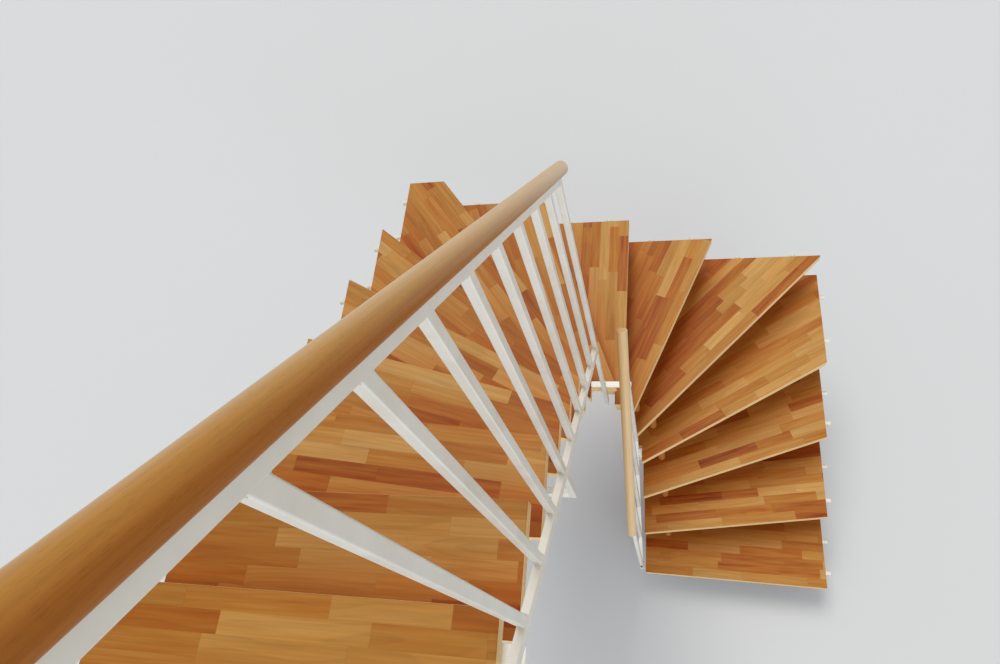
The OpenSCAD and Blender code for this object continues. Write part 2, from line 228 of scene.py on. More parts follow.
# upright square bar: its profile in X and Y carried up between two heights, each level or
# riding up by a slope times the way along Y
def uprightBar(x, y, low, high, lowSlope, highSlope, wide, long, arris):
    profile = barProfile(wide, long, arris)
    bottom = low + lowSlope * profile[:, 1]
    top = high + highSlope * profile[:, 1]
    hold = roundings["endHold"]
    heights = np.stack([bottom, bottom + hold, top - hold, top])
    draw = np.array([1 - 2 * roundings["endDraw"] / wide, 1, 1, 1])[:, None]
    across = x + profile[None, :, 0] * draw
    ahead = y + long / 2 + profile[None, :, 1] * draw
    return outward(np.stack([across, ahead, heights], -1))


# turned shape: radius and height pairs spun around an axis
def turnedShell(profile, place, axis, points=32, flats=0, flatRadius=None):
    profile = np.array(profile, float)
    axis = np.array(axis, float)
    aside = np.array([0.36, 0.48, 0.8])      # any direction that no axis here has
    side = np.cross(axis, aside)
    side /= np.linalg.norm(side)
    over = np.cross(axis, side)
    turn = np.arange(points) * 2 * math.pi / points
    radius = np.broadcast_to(profile[:, :1], (len(profile), points)).copy()
    if flats:      # a hexagon or square cut out of the round: the radius never passes the flat
        sector = np.mod(turn, 2 * math.pi / flats) - math.pi / flats
        radius = np.minimum(radius, flatRadius / np.cos(sector))
    ring = np.cos(turn)[:, None] * side + np.sin(turn)[:, None] * over
    return outward(np.array(place) + radius[..., None] * ring[None] + profile[:, 1, None, None] * axis)


# radius and height of a round screw head and of the socket in it, as shares of its radius
screwLook = {
    "head": [(1.0, 0.0), (1.0, 0.12), (0.93, 0.34), (0.76, 0.5), (0.55, 0.58)],
    "hole": [(1.0, 0.58), (1.0, 0.2)],
    "socket": 0.34,        # from its middle to a flat
}


# round head screw with a hexagon socket, its head standing on a face
def screwShell(place, axis, radius):
    head = screwLook["head"]
    profile = np.array(head + screwLook["hole"]) * radius
    limit = np.where(np.arange(len(profile)) < len(head), radius, screwLook["socket"] * radius)
    return turnedShell(profile, place, axis, 24, 6, limit[:, None])


weldLook = {
    "bulge": 0.22,         # how far the hollow face stays out of the corner, as a share
    "root": 0.0008,        # how deep the bead reaches into the corner
    "end": 0.001,          # the ends taper over this length
    "endSize": 0.6,
}


# hollow fillet of a weld in the corner of two directions in the YZ plane, laid across X: a
# quadratic curve from one leg to the other, bent towards the corner
def weldShell(x, corner, first, second, size, wide):
    first, second = (np.array(v, float) / np.linalg.norm(v) for v in (first, second))
    t = np.linspace(0, 1, 6)[:, None]
    bent = weldLook["bulge"] * (first + second)
    curve = size * ((1 - t) ** 2 * first + 2 * t * (1 - t) * bent + t ** 2 * second)
    profile = np.concatenate([curve, [-weldLook["root"] * (first + second)]])
    half, end, tip = wide / 2, weldLook["end"], weldLook["endSize"]
    across = np.array([-half, -half + end, half - end, half])
    scale = np.array([tip, 1.0, 1.0, tip])[:, None]
    shell = np.empty((4, len(profile), 3))
    shell[..., 0] = x - across[:, None]
    shell[..., 1] = corner[0] + profile[None, :, 0] * scale
    shell[..., 2] = corner[1] + profile[None, :, 1] * scale
    return outward(shell)


# materials

noiseSpan = (0.25, 0.75)      # nearly all of a noise texture's values lie in here


# sRGB hex to the linear values that the sockets take
def linear(code):
    srgb = np.array([int(code[i:i + 2], 16) for i in (1, 3, 5)]) / 255
    return (*np.where(srgb > 0.04045, ((srgb + 0.055) / 1.055) ** 2.4, srgb / 12.92).tolist(), 1.0)


# one node with its settings and links: an input is a value or the socket that feeds it, stops
# are a ramp's places and colours, and out picks the output that comes back, or None the node
def put(tree, kind, inputs=None, stops=None, out=0, **settings):
    node = tree.nodes.new("ShaderNode" + kind)
    for key, value in settings.items():
        setattr(node, key, value)
    for key, value in (inputs or {}).items():
        if isinstance(value, bpy.types.NodeSocket):
            tree.links.new(value, node.inputs[key])
        else:
            node.inputs[key].default_value = value
    if stops:
        ramp = node.color_ramp
        while len(ramp.elements) < len(stops):
            ramp.elements.new(1.0)
        for element, (place, colour) in zip(ramp.elements, stops):
            element.position = place
            element.color = linear(colour) if isinstance(colour, str) else (colour, colour, colour, 1.0)
    return node if out is None else node.outputs[out]


# the inputs that move a value from one span to another
def spans(value, source, target):
    return {0: value, 1: source[0], 2: source[1], 3: target[0], 4: target[1]}


# a material without nodes yet, and its tree
def newMaterial(name):
    material = bpy.data.materials.new(name)
    material.use_nodes = True
    tree = material.node_tree
    tree.nodes.clear()
    return material, tree


# the outer skin: colour and roughness, and a relief that follows a pattern
def addSkin(tree, colour, rough, pattern, relief, more):
    strength, distance = relief
    normal = put(tree, "Bump", {"Height": pattern, "Strength": strength, "Distance": distance})
    inputs = {"Base Color": colour, "Roughness": rough, "Normal": normal, **more}
    skin = put(tree, "BsdfPrincipled", inputs)
    put(tree, "OutputMaterial", {"Surface": skin}, out=None)


# Beech with red heart, glued up from short staves, sanded and sealed with a satin varnish.
# It gives the eye honey to red-brown bricks, fine streaks along each stave, faint glue lines
# and a soft sheen.
staveWood = {
    "staveWidth": 0.043,
    "staveLength": 0.27,
    "lengthSpread": 0.85,          # how unevenly the staves are cut
    "rowShift": 90.0,              # the rows start up to this many staves apart
    "ownShift": 9.0,               # metres between the staves' places in the patterns
    "ringGap": 0.009,              # real rings are nearer 2.5 mm, drawn wider so that they show
    "ringBend": 0.07,              # how far the rings stray from true circles
    "ringShade": [(0.0, 1.0), (0.5, 0.98), (0.88, 0.9), (1.0, 1.0)],
    "pithAside": (4.0, -2.5),      # the pith's place across the stave, in widths: spread and start
    "pithBelow": (0.12, 0.02),     # and below its face
    "cloudScale": (1.6, 9.0, 9.0), # clouds some 600 mm long and 110 mm wide
    "cloudShade": (0.88, 1.1),
    "streakWidth": 0.0045,
    "streakRun": 6.0,              # streaks per metre along the stave
    "streakShade": (0.91, 1.07),
    "bandLength": 0.22,            # soft bands inside a stave, where the heartwood comes and goes
    "bandWidth": 0.015,
    "bandShare": 0.6,              # what the bands add to the tone
    "ownShare": (0.74, -0.15),     # and the stave's own: spread and start
    "glueLine": 0.0011,            # really 0.2 mm, drawn wider so that it shows
    "rowLineShade": 0.92,
    "buttLineShade": 0.86,
    "shadeStripReach": 0.15,             # painted shade: the strip before and below the next tread that is darkened, in metres
    "shadeStripFrom": 0.75,              # this far into the strip the painted shade reaches the first tint
    "shadeStripTint": "#F9D5B2",
    "shadeStripDarkest": "#D4A57C",          # painted shade tint right below the next nosing
    "roughness": (0.35, 0.47),
    "relief": (0.25, 0.0004),
    "gloss": 0.08,
    "edge": "#F2CC92",             # sanded edges and ends, which take less colour than the face, and a painted highlight along the nosings
    "edgePaling": 0.95,
    "tones": [(0.0, "#CCA064"), (0.18, "#C49352"), (0.45, "#B9823F"), (0.72, "#AE6C2C"),
              (0.88, "#A25923"), (0.96, "#934A1E"), (1.0, "#823D19")],
    "topTreadsDarker": "#E4D6BB",           # the two top treads are darker and redder by this
}


# the board is cut into rows and staves, each with numbers of its own; its tone is multiplied by rings,
# streaks, clouds and glue lines, by painted shade before the next tread and a darker tone on the two top
# treads, and paled at sanded edges, partly as a painted highlight
def makeStaveWood():
    material, tree = newMaterial("staveBeechSatinVarnish")
    look = staveWood
    place = put(tree, "Attribute", out="Vector", attribute_name="board")
    u, v, z = put(tree, "SeparateXYZ", {0: place}, out=None).outputs
    rows = put(tree, "Math", {0: v, 1: look["staveWidth"]}, operation="DIVIDE")
    row = put(tree, "Math", {0: rows}, operation="FLOOR")
    rowSeed = put(tree, "TexWhiteNoise", {"W": row}, out="Value", noise_dimensions="1D")
    lengths = put(tree, "Math", {0: u, 1: look["staveLength"]}, operation="DIVIDE")
    run = put(tree, "Math", {0: rowSeed, 1: look["rowShift"], 2: lengths}, operation="MULTIPLY_ADD")
    cuts = {"W": run, "Scale": 1.0, "Randomness": look["lengthSpread"]}
    stave = put(tree, "TexVoronoi", cuts, out="Color", voronoi_dimensions="1D")
    seeds = put(tree, "SeparateColor", {0: stave}, out=None).outputs

    # each stave has its own pith, below it and to one side, and rings around that
    inRow = put(tree, "Math", {0: rows}, operation="FRACT")
    spread, start = look["pithAside"]
    aside = put(tree, "Math", {0: seeds[1], 1: spread, 2: start}, operation="MULTIPLY_ADD")
    fromPith = put(tree, "Math", {0: inRow, 1: aside}, operation="ADD")
    across = put(tree, "Math", {0: fromPith, 1: look["staveWidth"]}, operation="MULTIPLY")
    spread, start = look["pithBelow"]
    below = put(tree, "Math", {0: seeds[2], 1: spread, 2: start}, operation="MULTIPLY_ADD")
    up = put(tree, "Math", {0: z, 1: below}, operation="ADD")
    shift = put(tree, "VectorMath", {0: stave, "Scale": look["ownShift"]}, operation="SCALE")
    own = put(tree, "VectorMath", {0: place, 1: shift}, operation="ADD")
    slow = put(tree, "Mapping", {0: own, "Scale": look["cloudScale"]})
    bend = put(tree, "TexNoise", {"Vector": slow, "Scale": 1.0, "Detail": 2.0})
    section = put(tree, "CombineXYZ", {1: across, 2: up})
    distance = put(tree, "VectorMath", {0: section}, out="Value", operation="LENGTH")
    bent = put(tree, "Math", {0: bend, 1: look["ringBend"], 2: distance}, operation="MULTIPLY_ADD")
    ringCount = put(tree, "Math", {0: bent, 1: look["ringGap"]}, operation="DIVIDE")
    ring = put(tree, "Math", {0: ringCount}, operation="FRACT")
    late = put(tree, "ValToRGB", {0: ring}, stops=look["ringShade"])

    # the stave's own tone, moved up and down by the bands
    broad = 1 / look["bandWidth"]
    drawn = put(tree, "Mapping", {0: own, "Scale": (1 / look["bandLength"], broad, broad)})
    bands = put(tree, "TexNoise", {"Vector": drawn, "Scale": 1.0, "Detail": 2.0})
    spread, start = look["ownShare"]
    ownTone = put(tree, "Math", {0: seeds[0], 1: spread, 2: start}, operation="MULTIPLY_ADD")
    toneAt = put(tree, "Math", {0: bands, 1: look["bandShare"], 2: ownTone}, operation="MULTIPLY_ADD")
    tone = put(tree, "ValToRGB", {0: toneAt}, stops=look["tones"])

    # fibre streaks along the stave, and the same clouds that bend its rings
    thin = 1 / look["streakWidth"]
    drawn = put(tree, "Mapping", {0: own, "Scale": (look["streakRun"], thin, thin)})
    fibres = {"Vector": drawn, "Scale": 1.0, "Detail": 3.0, "Roughness": 0.6}
    streaks = put(tree, "TexNoise", fibres)
    streakShade = put(tree, "MapRange", spans(streaks, noiseSpan, look["streakShade"]))
    cloud = put(tree, "MapRange", spans(bend, noiseSpan, look["cloudShade"]))

    # glue lines between the rows and at the butt ends
    toNext = put(tree, "Math", {0: 1.0, 1: inRow}, operation="SUBTRACT")
    toLine = put(tree, "Math", {0: toNext, 1: inRow}, operation="MINIMUM")
    lineSpan = (0.0, look["glueLine"] / look["staveWidth"])
    rowLine = put(tree, "MapRange", spans(toLine, lineSpan, (look["rowLineShade"], 1.0)))
    butt = put(tree, "TexVoronoi", cuts, out="Distance", voronoi_dimensions="1D", feature="DISTANCE_TO_EDGE")
    lineSpan = (0.0, look["glueLine"] / look["staveLength"])
    buttLine = put(tree, "MapRange", spans(butt, lineSpan, (look["buttLineShade"], 1.0)))
    shade = late
    for factor in (streakShade, cloud, rowLine, buttLine):
        shade = put(tree, "Math", {0: shade, 1: factor}, operation="MULTIPLY")

    # painted shade: the strip before and under the next tread is darkened; the two top treads are darker and
    # redder
    behindNextNosing = put(tree, "Attribute", out="Fac", attribute_name="behindNextNosing")
    # painted shade: the tints darken the tread towards the next nosing, where shade falls
    reach = put(tree, "MapRange", spans(behindNextNosing, (-look["shadeStripReach"], 0.0), (0.0, 1.0)))
    stops = [(0.0, 1.0), (look["shadeStripFrom"], look["shadeStripTint"]), (1.0, look["shadeStripDarkest"])]
    paintedShadeTint = put(tree, "ValToRGB", {0: reach}, stops=stops)
    tone = put(tree, "VectorMath", {0: tone, 1: paintedShadeTint}, operation="MULTIPLY")
    # the two top treads are made darker and redder
    topTreadsShare = put(tree, "Attribute", out="Fac", attribute_name="topTreadsShare")
    topTreadsDarker = put(tree, "ValToRGB", {0: topTreadsShare}, stops=[(0.0, 1.0), (1.0, look["topTreadsDarker"])])
    tone = put(tree, "VectorMath", {0: tone, 1: topTreadsDarker}, operation="MULTIPLY")

    # pale sanded edges and end grain, made paler still as a painted highlight along the nosings
    rim = put(tree, "Attribute", out="Fac", attribute_name="edge")
    paled = put(tree, "Math", {0: rim, 1: look["edgePaling"]}, operation="MULTIPLY")
    tone = put(tree, "Mix", {0: paled, 6: tone, 7: linear(look["edge"])}, out=2, data_type="RGBA")
    colour = put(tree, "VectorMath", {0: tone, 1: shade}, operation="MULTIPLY")
    rough = put(tree, "MapRange", spans(streaks, (0.0, 1.0), look["roughness"]))
    addSkin(tree, colour, rough, shade, look["relief"], {"Specular IOR Level": look["gloss"]})
    return material


# Steamed beech, turned round and sealed with a satin varnish: one long piece with straight grain, the short
# dark flecks of beech and a honey to brown drift, with painted shade towards one side and towards the upper
# end.
railWood = {
    "driftScale": (1.1, 45.0, 45.0),       # drifts some 900 mm long and 22 mm wide
    "driftShare": (0.4, 0.7),              # what they add to the tone: spread and start
    "streakScale": (9.0, 420.0, 420.0),    # streaks some 110 mm long and 2.4 mm wide
    "streakSpan": (0.3, 0.7),
    "streakShade": (0.9, 1.06),
    "fleckLength": 0.006,
    "fleckWidth": 0.0006,
    "fleckScale": 0.45,                    # flecks stand about two of their sizes apart
    "fleckSpan": (0.12, 0.3),
    "fleckShade": (0.86, 1.0),
    "roughness": (0.29, 0.40),
    "relief": (0.3, 0.0003),
    "gloss": (0.03, 0.32),   # of the darker, painted-shade side and of the pale, lit side
    "glossSpan": (0.0, 0.6), # the tones between which the gloss changes
    "sheen": 0.3,            # dry satin varnish: whitish along the pale, lit side, where it is seen flat on
    "sheenSpan": (0.2, 0.8), # and those between which the sheen comes in
    "sheenRoughness": 0.35,
    "paintedShadeAcross": 22.0,       # painted shade: how much tone a metre is lost across the piece towards its shaded side
    "paintedShadeAlong": 0.48,        # and a metre along the piece, towards its upper end
    "tonePlaces": (0.0, 0.35, 0.8),
    # each set of tones runs from the painted-shade side to the pale, lit side
    "honey": ("#AE692D", "#BB843C", "#D2A868"),
    "paintedLitTones": ("#BE9157", "#CBA26C", "#D8B585"),      # painted light: the lower rail takes a paler copy of the same beech, as it stands in more light
    "heart": ("#8F511F", "#A0632B", "#AD6F33"),    # the sleeves between the treads
}


# the tone drifts along the piece; painted shade makes it darker towards one side and towards the piece's
# upper end, streaks and flecks are multiplied into it, and gloss and sheen follow the tone
def makeRailWood(name, tones, sheen):
    material, tree = newMaterial(name)
    look = railWood
    place = put(tree, "Attribute", out="Vector", attribute_name="board")
    slow = put(tree, "Mapping", {0: place, "Scale": look["driftScale"]})
    drift = put(tree, "TexNoise", {"Vector": slow, "Scale": 1.0, "Detail": 3.0})
    along, side, _ = put(tree, "SeparateXYZ", {0: place}, out=None).outputs
    spread, start = look["driftShare"]
    drifted = put(tree, "Math", {0: drift, 1: spread, 2: start}, operation="MULTIPLY_ADD")
    sided = put(tree, "Math", {0: side, 1: -look["paintedShadeAcross"], 2: drifted}, operation="MULTIPLY_ADD")
    toneAt = put(tree, "Math", {0: along, 1: -look["paintedShadeAlong"], 2: sided}, operation="MULTIPLY_ADD")
    tone = put(tree, "ValToRGB", {0: toneAt}, stops=list(zip(look["tonePlaces"], tones)))
    drawn = put(tree, "Mapping", {0: place, "Scale": look["streakScale"]})
    streaks = put(tree, "TexNoise", {"Vector": drawn, "Scale": 1.0, "Detail": 2.0})
    streakShade = put(tree, "MapRange", spans(streaks, look["streakSpan"], look["streakShade"]))
    short, thin = 1 / look["fleckLength"], 1 / look["fleckWidth"]
    fine = put(tree, "Mapping", {0: place, "Scale": (short, thin, thin)})
    flecks = {"Vector": fine, "Scale": look["fleckScale"], "Randomness": 1.0}
    specks = put(tree, "TexVoronoi", flecks, out="Distance")
    fleck = put(tree, "MapRange", spans(specks, look["fleckSpan"], look["fleckShade"]))
    shade = put(tree, "Math", {0: streakShade, 1: fleck}, operation="MULTIPLY")
    colour = put(tree, "VectorMath", {0: tone, 1: shade}, operation="MULTIPLY")
    bloom = put(tree, "MapRange", spans(toneAt, look["sheenSpan"], (0.0, sheen)))
    gloss = put(tree, "MapRange", spans(toneAt, look["glossSpan"], look["gloss"]))
    rough = put(tree, "MapRange", spans(streaks, (0.0, 1.0), look["roughness"]))
    varnish = {"Specular IOR Level": gloss, "Sheen Weight": bloom, "Sheen Roughness": look["sheenRoughness"]}
    addSkin(tree, colour, rough, shade, look["relief"], varnish)
    return material


# Welded mild steel, powder coated satin white: an even skin with a faint orange peel.
whiteCoat = {
    "dust": (0.35, "#E9E2D2"), "clean": (0.6, "#F0EADC"),
    "patches": 14.0,         # a metre: patches of dust some 70 mm wide
    "peel": 0.0016,
    "relief": (0.12, 0.0002), "roughness": (0.35, 0.48),
}


# patches of dust set the colour and the roughness, and the peel is the relief
def makeWhiteCoat():
    material, tree = newMaterial("powderCoatSatinWhite")
    look = whiteCoat
    place = put(tree, "TexCoord", out="Object")
    patches = put(tree, "TexNoise", {"Vector": place, "Scale": look["patches"], "Detail": 4.0})
    colour = put(tree, "ValToRGB", {0: patches}, stops=[look["dust"], look["clean"]])
    peel = put(tree, "TexNoise", {"Vector": place, "Scale": 1 / look["peel"], "Detail": 1.0})
    rough = put(tree, "MapRange", spans(patches, (0.0, 1.0), look["roughness"]))
    addSkin(tree, colour, rough, peel, look["relief"], {})
    return material


# Zinc plated steel, turned and left bright: pale grey metal with a soft cloudy bloom.
zincPlate = {
    "bloom": (0.35, "#A9ACAD"), "bright": (0.65, "#C9CBCB"),
    "clouds": 90.0,          # a metre: clouds some 11 mm wide
    "grain": 900.0,          # and grain of about 1 mm
    "relief": (0.15, 0.0001), "roughness": (0.28, 0.48),
}


# clouds set the colour and the roughness, and the grain is the relief
def makeZinc():
    material, tree = newMaterial("zincPlatedSteel")
    look = zincPlate
    place = put(tree, "TexCoord", out="Object")
    clouds = put(tree, "TexNoise", {"Vector": place, "Scale": look["clouds"], "Detail": 3.0})
    colour = put(tree, "ValToRGB", {0: clouds}, stops=[look["bloom"], look["bright"]])
    grain = put(tree, "TexNoise", {"Vector": place, "Scale": look["grain"], "Detail": 1.0})
    rough = put(tree, "MapRange", spans(clouds, (0.0, 1.0), look["roughness"]))
    addSkin(tree, colour, rough, grain, look["relief"], {"Metallic": 1.0})
    return material


staveBeech = makeStaveWood()
railBeech = makeRailWood("turnedBeechSatinVarnish", railWood["honey"], railWood["sheen"])
# painted light: a paler, lit copy of the rail beech for the lower rail
litRailBeech = makeRailWood("turnedBeechSatinVarnishLit", railWood["paintedLitTones"], railWood["sheen"])
heartBeech = makeRailWood("turnedHeartwoodSatinVarnish", railWood["heart"], 0.0)
powderWhite = makeWhiteCoat()
zincSteel = makeZinc()
print("stair: materials made")

# treads

treadLook = {
    "arris": 0.003,          # radius of the sanded edges
    "corner": 0.0034,        # radius of the corners in plan
    "roundRings": 3,         # rings of an arris that keep the face's colour, up to half way round
    "boardStart": (3, 90),   # where a tread is cut from the endless board, in metres along it
    "firstRow": (3, 900),    # and at which of its rows
    "topTreadsFrom": 13, "topTreadsOver": 2,      # the treads above this one are darker, in two steps
    "longSide": 0.5,         # a nosing is longer than this
    "level": 1e-4,           # points this close to the top belong to the top face
    "straight": 1e-6,        # where an outline bends less than this, the point is dropped
}


# corners of a tread's top face, counterclockwise, from the CAD's own triangles: the sides that
# only one triangle of that face has are its outline and the bolt hole's, and the longer loop is
# the outline's
def treadCorners(name):
    points = cadPoints(name)
    mesh = cadNodes[name].data
    mesh.calc_loop_triangles()
    faces = np.empty(len(mesh.loop_triangles) * 3, np.int32)
    mesh.loop_triangles.foreach_get("vertices", faces)
    faces = faces.reshape(-1, 3)
    top = faces[(points[faces, 2] > points[:, 2].max() - treadLook["level"]).all(1)]
    plan, same = np.unique(np.round(points[top.ravel(), :2], 5), axis=0, return_inverse=True)
    top = same.reshape(-1, 3)
    sides = np.stack([top, np.roll(top, -1, 1)], -1).reshape(-1, 2).tolist()
    sides = [side for side in sides if side[0] != side[1]]
    inner = {(b, a) for a, b in sides}
    follows = {a: b for a, b in sides if (a, b) not in inner}
    loops = []
    while follows:
        loop = [next(iter(follows))]
        while loop[-1] in follows:
            loop.append(follows.pop(loop[-1]))
        loops.append(plan[loop[:-1]])
    corners = max(loops, key=lambda loop: np.linalg.norm(np.ptp(loop, axis=0)))
    before, after = corners - np.roll(corners, 1, 0), np.roll(corners, -1, 0) - corners
    bend = before[:, 0] * after[:, 1] - before[:, 1] * after[:, 0]
    return corners[np.abs(bend) > treadLook["straight"]]


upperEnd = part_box("tread_15")[0].y
rng = np.random.default_rng(15)
boltCentres = []
for k in range(1, treadCount):
    low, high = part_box("step_bolt_%d" % k)
    boltCentres.append(np.array([(low.x + high.x) / 2, (low.y + high.y) / 2]))
outlines = [treadCorners("tread_%d" % k) for k in range(1, treadCount + 1)]
middles = np.array([outline.mean(0) for outline in outlines])
climbs = np.diff(middles, axis=0)
climbs = np.concatenate([climbs[:1], climbs])

# a tread's nosing is its long side that faces back along the climb: kept as its left end in plan,
# the way along it and the way behind it
nosings = []
for outline, climb in zip(outlines, climbs):
    sides = np.roll(outline, -1, 0) - outline
    lengths = np.linalg.norm(sides, axis=1)
    sides /= lengths[:, None]
    facing = np.stack([sides[:, 1], -sides[:, 0]], -1)
    front = np.argmax(np.where(lengths > treadLook["longSide"], -facing @ climb, -1))
    along = sides[front]
    nosings.append((outline[front], along, np.array([-along[1], along[0]])))
# behind the top tread its own back edge stands in for a nosing
nosings.append((np.array([0, upperEnd]), np.array([-1, 0]), np.array([0, -1])))

for k, (outline, (corner, along, behind)) in enumerate(zip(outlines, nosings), 1):
    low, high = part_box("tread_%d" % k)
    shell = slabShell(outline, low.z, high.z, treadLook["arris"], treadLook["corner"])
    points = shell.reshape(-1, 3)
    plan = points[:, :2] - corner
    start = rng.uniform(*treadLook["boardStart"])
    firstRow = staveWood["staveWidth"] * rng.integers(*treadLook["firstRow"])
    grain = np.stack([plan @ along + start, plan @ behind + firstRow, points[:, 2] - high.z], -1)
    # pale sanded edges and ends, partly a painted highlight along the nosings
    edge = np.ones(shell.shape[:2])
    edge[:treadLook["roundRings"]] = 0
    edge[-treadLook["roundRings"]:] = 0
    # painted shade is darkest right behind the next nosing and fades over the strip before it
    onNext, _, behindNext = nosings[k]
    behindNextNosing = (points[:, :2] - onNext) @ behindNext       # metres behind the next nosing
    topTreadsDarker = np.clip((k - treadLook["topTreadsFrom"]) / treadLook["topTreadsOver"], 0, 1)
    marks = {"edge": edge.ravel(), "behindNextNosing": behindNextNosing, "topTreadsShare": np.full(len(points), topTreadsDarker)}
    piece = buildPiece("treadBoard_%d" % k, [shell], staveBeech, grain, marks)
    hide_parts("tread_%d" % k)
print("stair: treads built")

# balustrades and handrails

bars = {
    "barWide": 0.017, "postLong": 0.020, "topHigh": 0.018, "bottomHigh": 0.026,
    "arris": 0.0022, "railRadius": 0.01825, "groove": 0.004, "grooveFit": 0.0002,
    "railHeight": 0.974, "railRounding": 0.003, "railPoints": 61,
    "weld": 0.005, "weldInset": 0.003, "screw": 0.0045,
    "setBack": 0.0008,       # the uprights are this much thinner than the bars that they meet
    "endClear": 0.01,        # closer to a panel's end than this there is no weld
}
# slope: rise over run, of four risers in 499 mm and of 44.8 degrees; nose: a nosing's inner end in Y and Z;
# below: from the line of the nosings down to the bottom bar's lower side; over: how far the rail runs on past
# its panel; paintedShadeTurn: in degrees, how far the rail's painted-shade side is turned around its axis;
# grainStart: where the rail is cut from its endless piece; feet: the low ends of the uprights that run on
# below the bottom bar, by number: at the plate under the first tread, at the one under the top tread, 116 mm
# below the thirteenth, where the arm meets it, and 90 mm below the eighth
lowerPanel = {
    "x": -0.0815, "front": -0.083, "back": 0.389, "slope": 4 * riser / 0.499, "nose": (-0.110, riser),
    "posts": 5, "below": 0.070, "over": 0.025, "wood": litRailBeech, "paintedShadeTurn": 0, "grainStart": 15.0,
    "feet": {0: riser - treadThick},
}
upperPanel = {
    "x": -0.1765, "front": -0.7137, "back": 0.389, "slope": -math.tan(math.radians(44.8)),
    "nose": (-0.560, treadCount * riser),
    "posts": 10, "below": 0.004, "over": 0.050, "wood": railBeech, "paintedShadeTurn": 54, "grainStart": 30.0,
    "feet": {0: treadCount * riser - treadThick - plateThick, 4: 13 * riser - treadThick - 0.116,
             9: 8 * riser - treadThick - 0.090},
}


# round rail with a flat-bottomed groove for its bar: angles around the axis, from one lip of the
# groove to the other, then the groove's bottom
def railProfile(radius, groove, halfWide):
    lip = math.asin(halfWide / radius)
    turn = np.linspace(-math.pi / 2 + lip, 1.5 * math.pi - lip, bars["railPoints"])
    circle = np.stack([np.cos(turn), np.sin(turn)], -1) * radius
    bottom = radius - groove
    return np.concatenate([circle, [[-halfWide, -bottom], [halfWide, -bottom]]])


# the profile carried along the panel's slope; the grain is turned around the rail's axis so that the
# painted-shade side comes to lie where the photograph shows it
def buildRail(name, panel, node):
    slope = panel["slope"]
    lean = math.sqrt(1 + slope * slope)
    nose = panel["nose"]
    ends = sorted([panel["front"] - panel["over"], panel["back"] + panel["over"]], key=lambda y: y * slope)
    places = [(panel["x"], y, nose[1] + bars["railHeight"] + slope * (y - nose[0])) for y in ends]
    axis = np.array(places[1]) - np.array(places[0])
    axis /= np.linalg.norm(axis)
    over = np.array([0, -slope, 1]) / lean
    across = np.cross(over, axis)
    radius = bars["railRadius"]
    profile = railProfile(radius, bars["groove"], bars["barWide"] / 2 + bars["grooveFit"])
    shell = rodShell(profile, places[0], places[1], across, over, bars["railRounding"], radius)
    points = shell.reshape(-1, 3) - np.array(places[0])
    turn = math.radians(panel["paintedShadeTurn"])
    side = math.cos(turn) * across - math.sin(turn) * over
    up = math.sin(turn) * across + math.cos(turn) * over
    grain = np.stack([points @ axis, points @ side, points @ up + panel["grainStart"]], -1)
    piece = buildPiece(name, [shell], panel["wood"], grain)
    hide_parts(node)


# welded panel: a bar under the rail and one along the treads, both on the slope, with upright
# bars between them and a weld in each corner
def buildPanel(name, panel, nodes):
    slope, x, nose, feet = panel["slope"], panel["x"], panel["nose"], panel["feet"]
    front, back = panel["front"], panel["back"]
    lean = math.sqrt(1 + slope * slope)
    wide, long, arris = bars["barWide"], bars["postLong"], bars["arris"]
    start = nose[1] + slope * (front - nose[0])
    topHigh = start + bars["railHeight"] - (bars["railRadius"] - bars["groove"]) * lean
    topLow = topHigh - bars["topHigh"] * lean
    baseLow = start - panel["below"]
    baseHigh = baseLow + bars["bottomHigh"] * lean
    shells = [slopedBar(x, front, back, topLow, topHigh, slope, wide, arris),
              slopedBar(x, front, back, baseLow, baseHigh, slope, wide, arris)]
    step = (back - long - front) / (panel["posts"] - 1)
    beadWide = wide - bars["weldInset"]
    for i in range(panel["posts"]):
        y = front + i * step
        rise = slope * (i * step + long / 2)
        cut = i in feet
        low = feet[i] if cut else (baseLow + baseHigh) / 2 + rise
        high = (topLow + topHigh) / 2 + rise
        lowSlope = 0 if cut else slope
        shells.append(uprightBar(x, y, low, high, lowSlope, slope, wide - bars["setBack"], long, arris))
        on = np.array([1, slope])
        for way, place in ((-1, y), (1, y + long)):
            if front + bars["endClear"] < place < back - bars["endClear"]:
                far = slope * (place - front)
                corners = [(baseHigh, 1), (topLow, -1)] + ([(baseLow, -1)] if cut else [])
                for height, leg in corners:
                    corner = (place, height + far)
                    shells.append(weldShell(x, corner, (0, leg), way * on, bars["weld"], beadWide))
    piece = buildPiece(name, shells, powderWhite)
    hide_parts(*nodes)
    # screws that hold the rail, from below through its bar, in every second gap
    down = np.array([0, slope, -1]) / lean
    for i in range(0, panel["posts"] - 1, 2):
        y = front + (i + 0.5) * step + long / 2
        screws.append(screwShell((x, y, topLow + slope * (y - front)), down, bars["screw"]))


screws = []
buildRail("lowerRail", lowerPanel, "lower_handrail")
buildRail("upperRail", upperPanel, "upper_handrail")
buildPanel("lowerPanel", lowerPanel, ["lower_balustrade"])
buildPanel("upperPanel", upperPanel, ["upper_balustrade", "upper_feet"])
print("stair: balustrades built")

# brackets; screws are given by their distances from a bracket's own edges

plates = {
    "arris": 0.0012, "corner": 0.004, "screw": 0.0052,
    "footScrews": (0.012, 0.048),
    "lugCorner": 0.003, "lugArris": 0.0015, "lugScrews": (0.012, 0.032),
    "topCorner": 0.006,
    "nearRow": (0.016, 0.016), "farRow": (0.052, 0.030),      # from the side and from the ends
}


# flat plate between two opposite corners of its box
def plateShell(low, high, corner=None, arris=None):
    corners = np.array([[low[0], low[1]], [high[0], low[1]], [high[0], high[1]], [low[0], high[1]]])
    return slabShell(corners, low[2], high[2], arris or plates["arris"], corner or plates["corner"], 4)


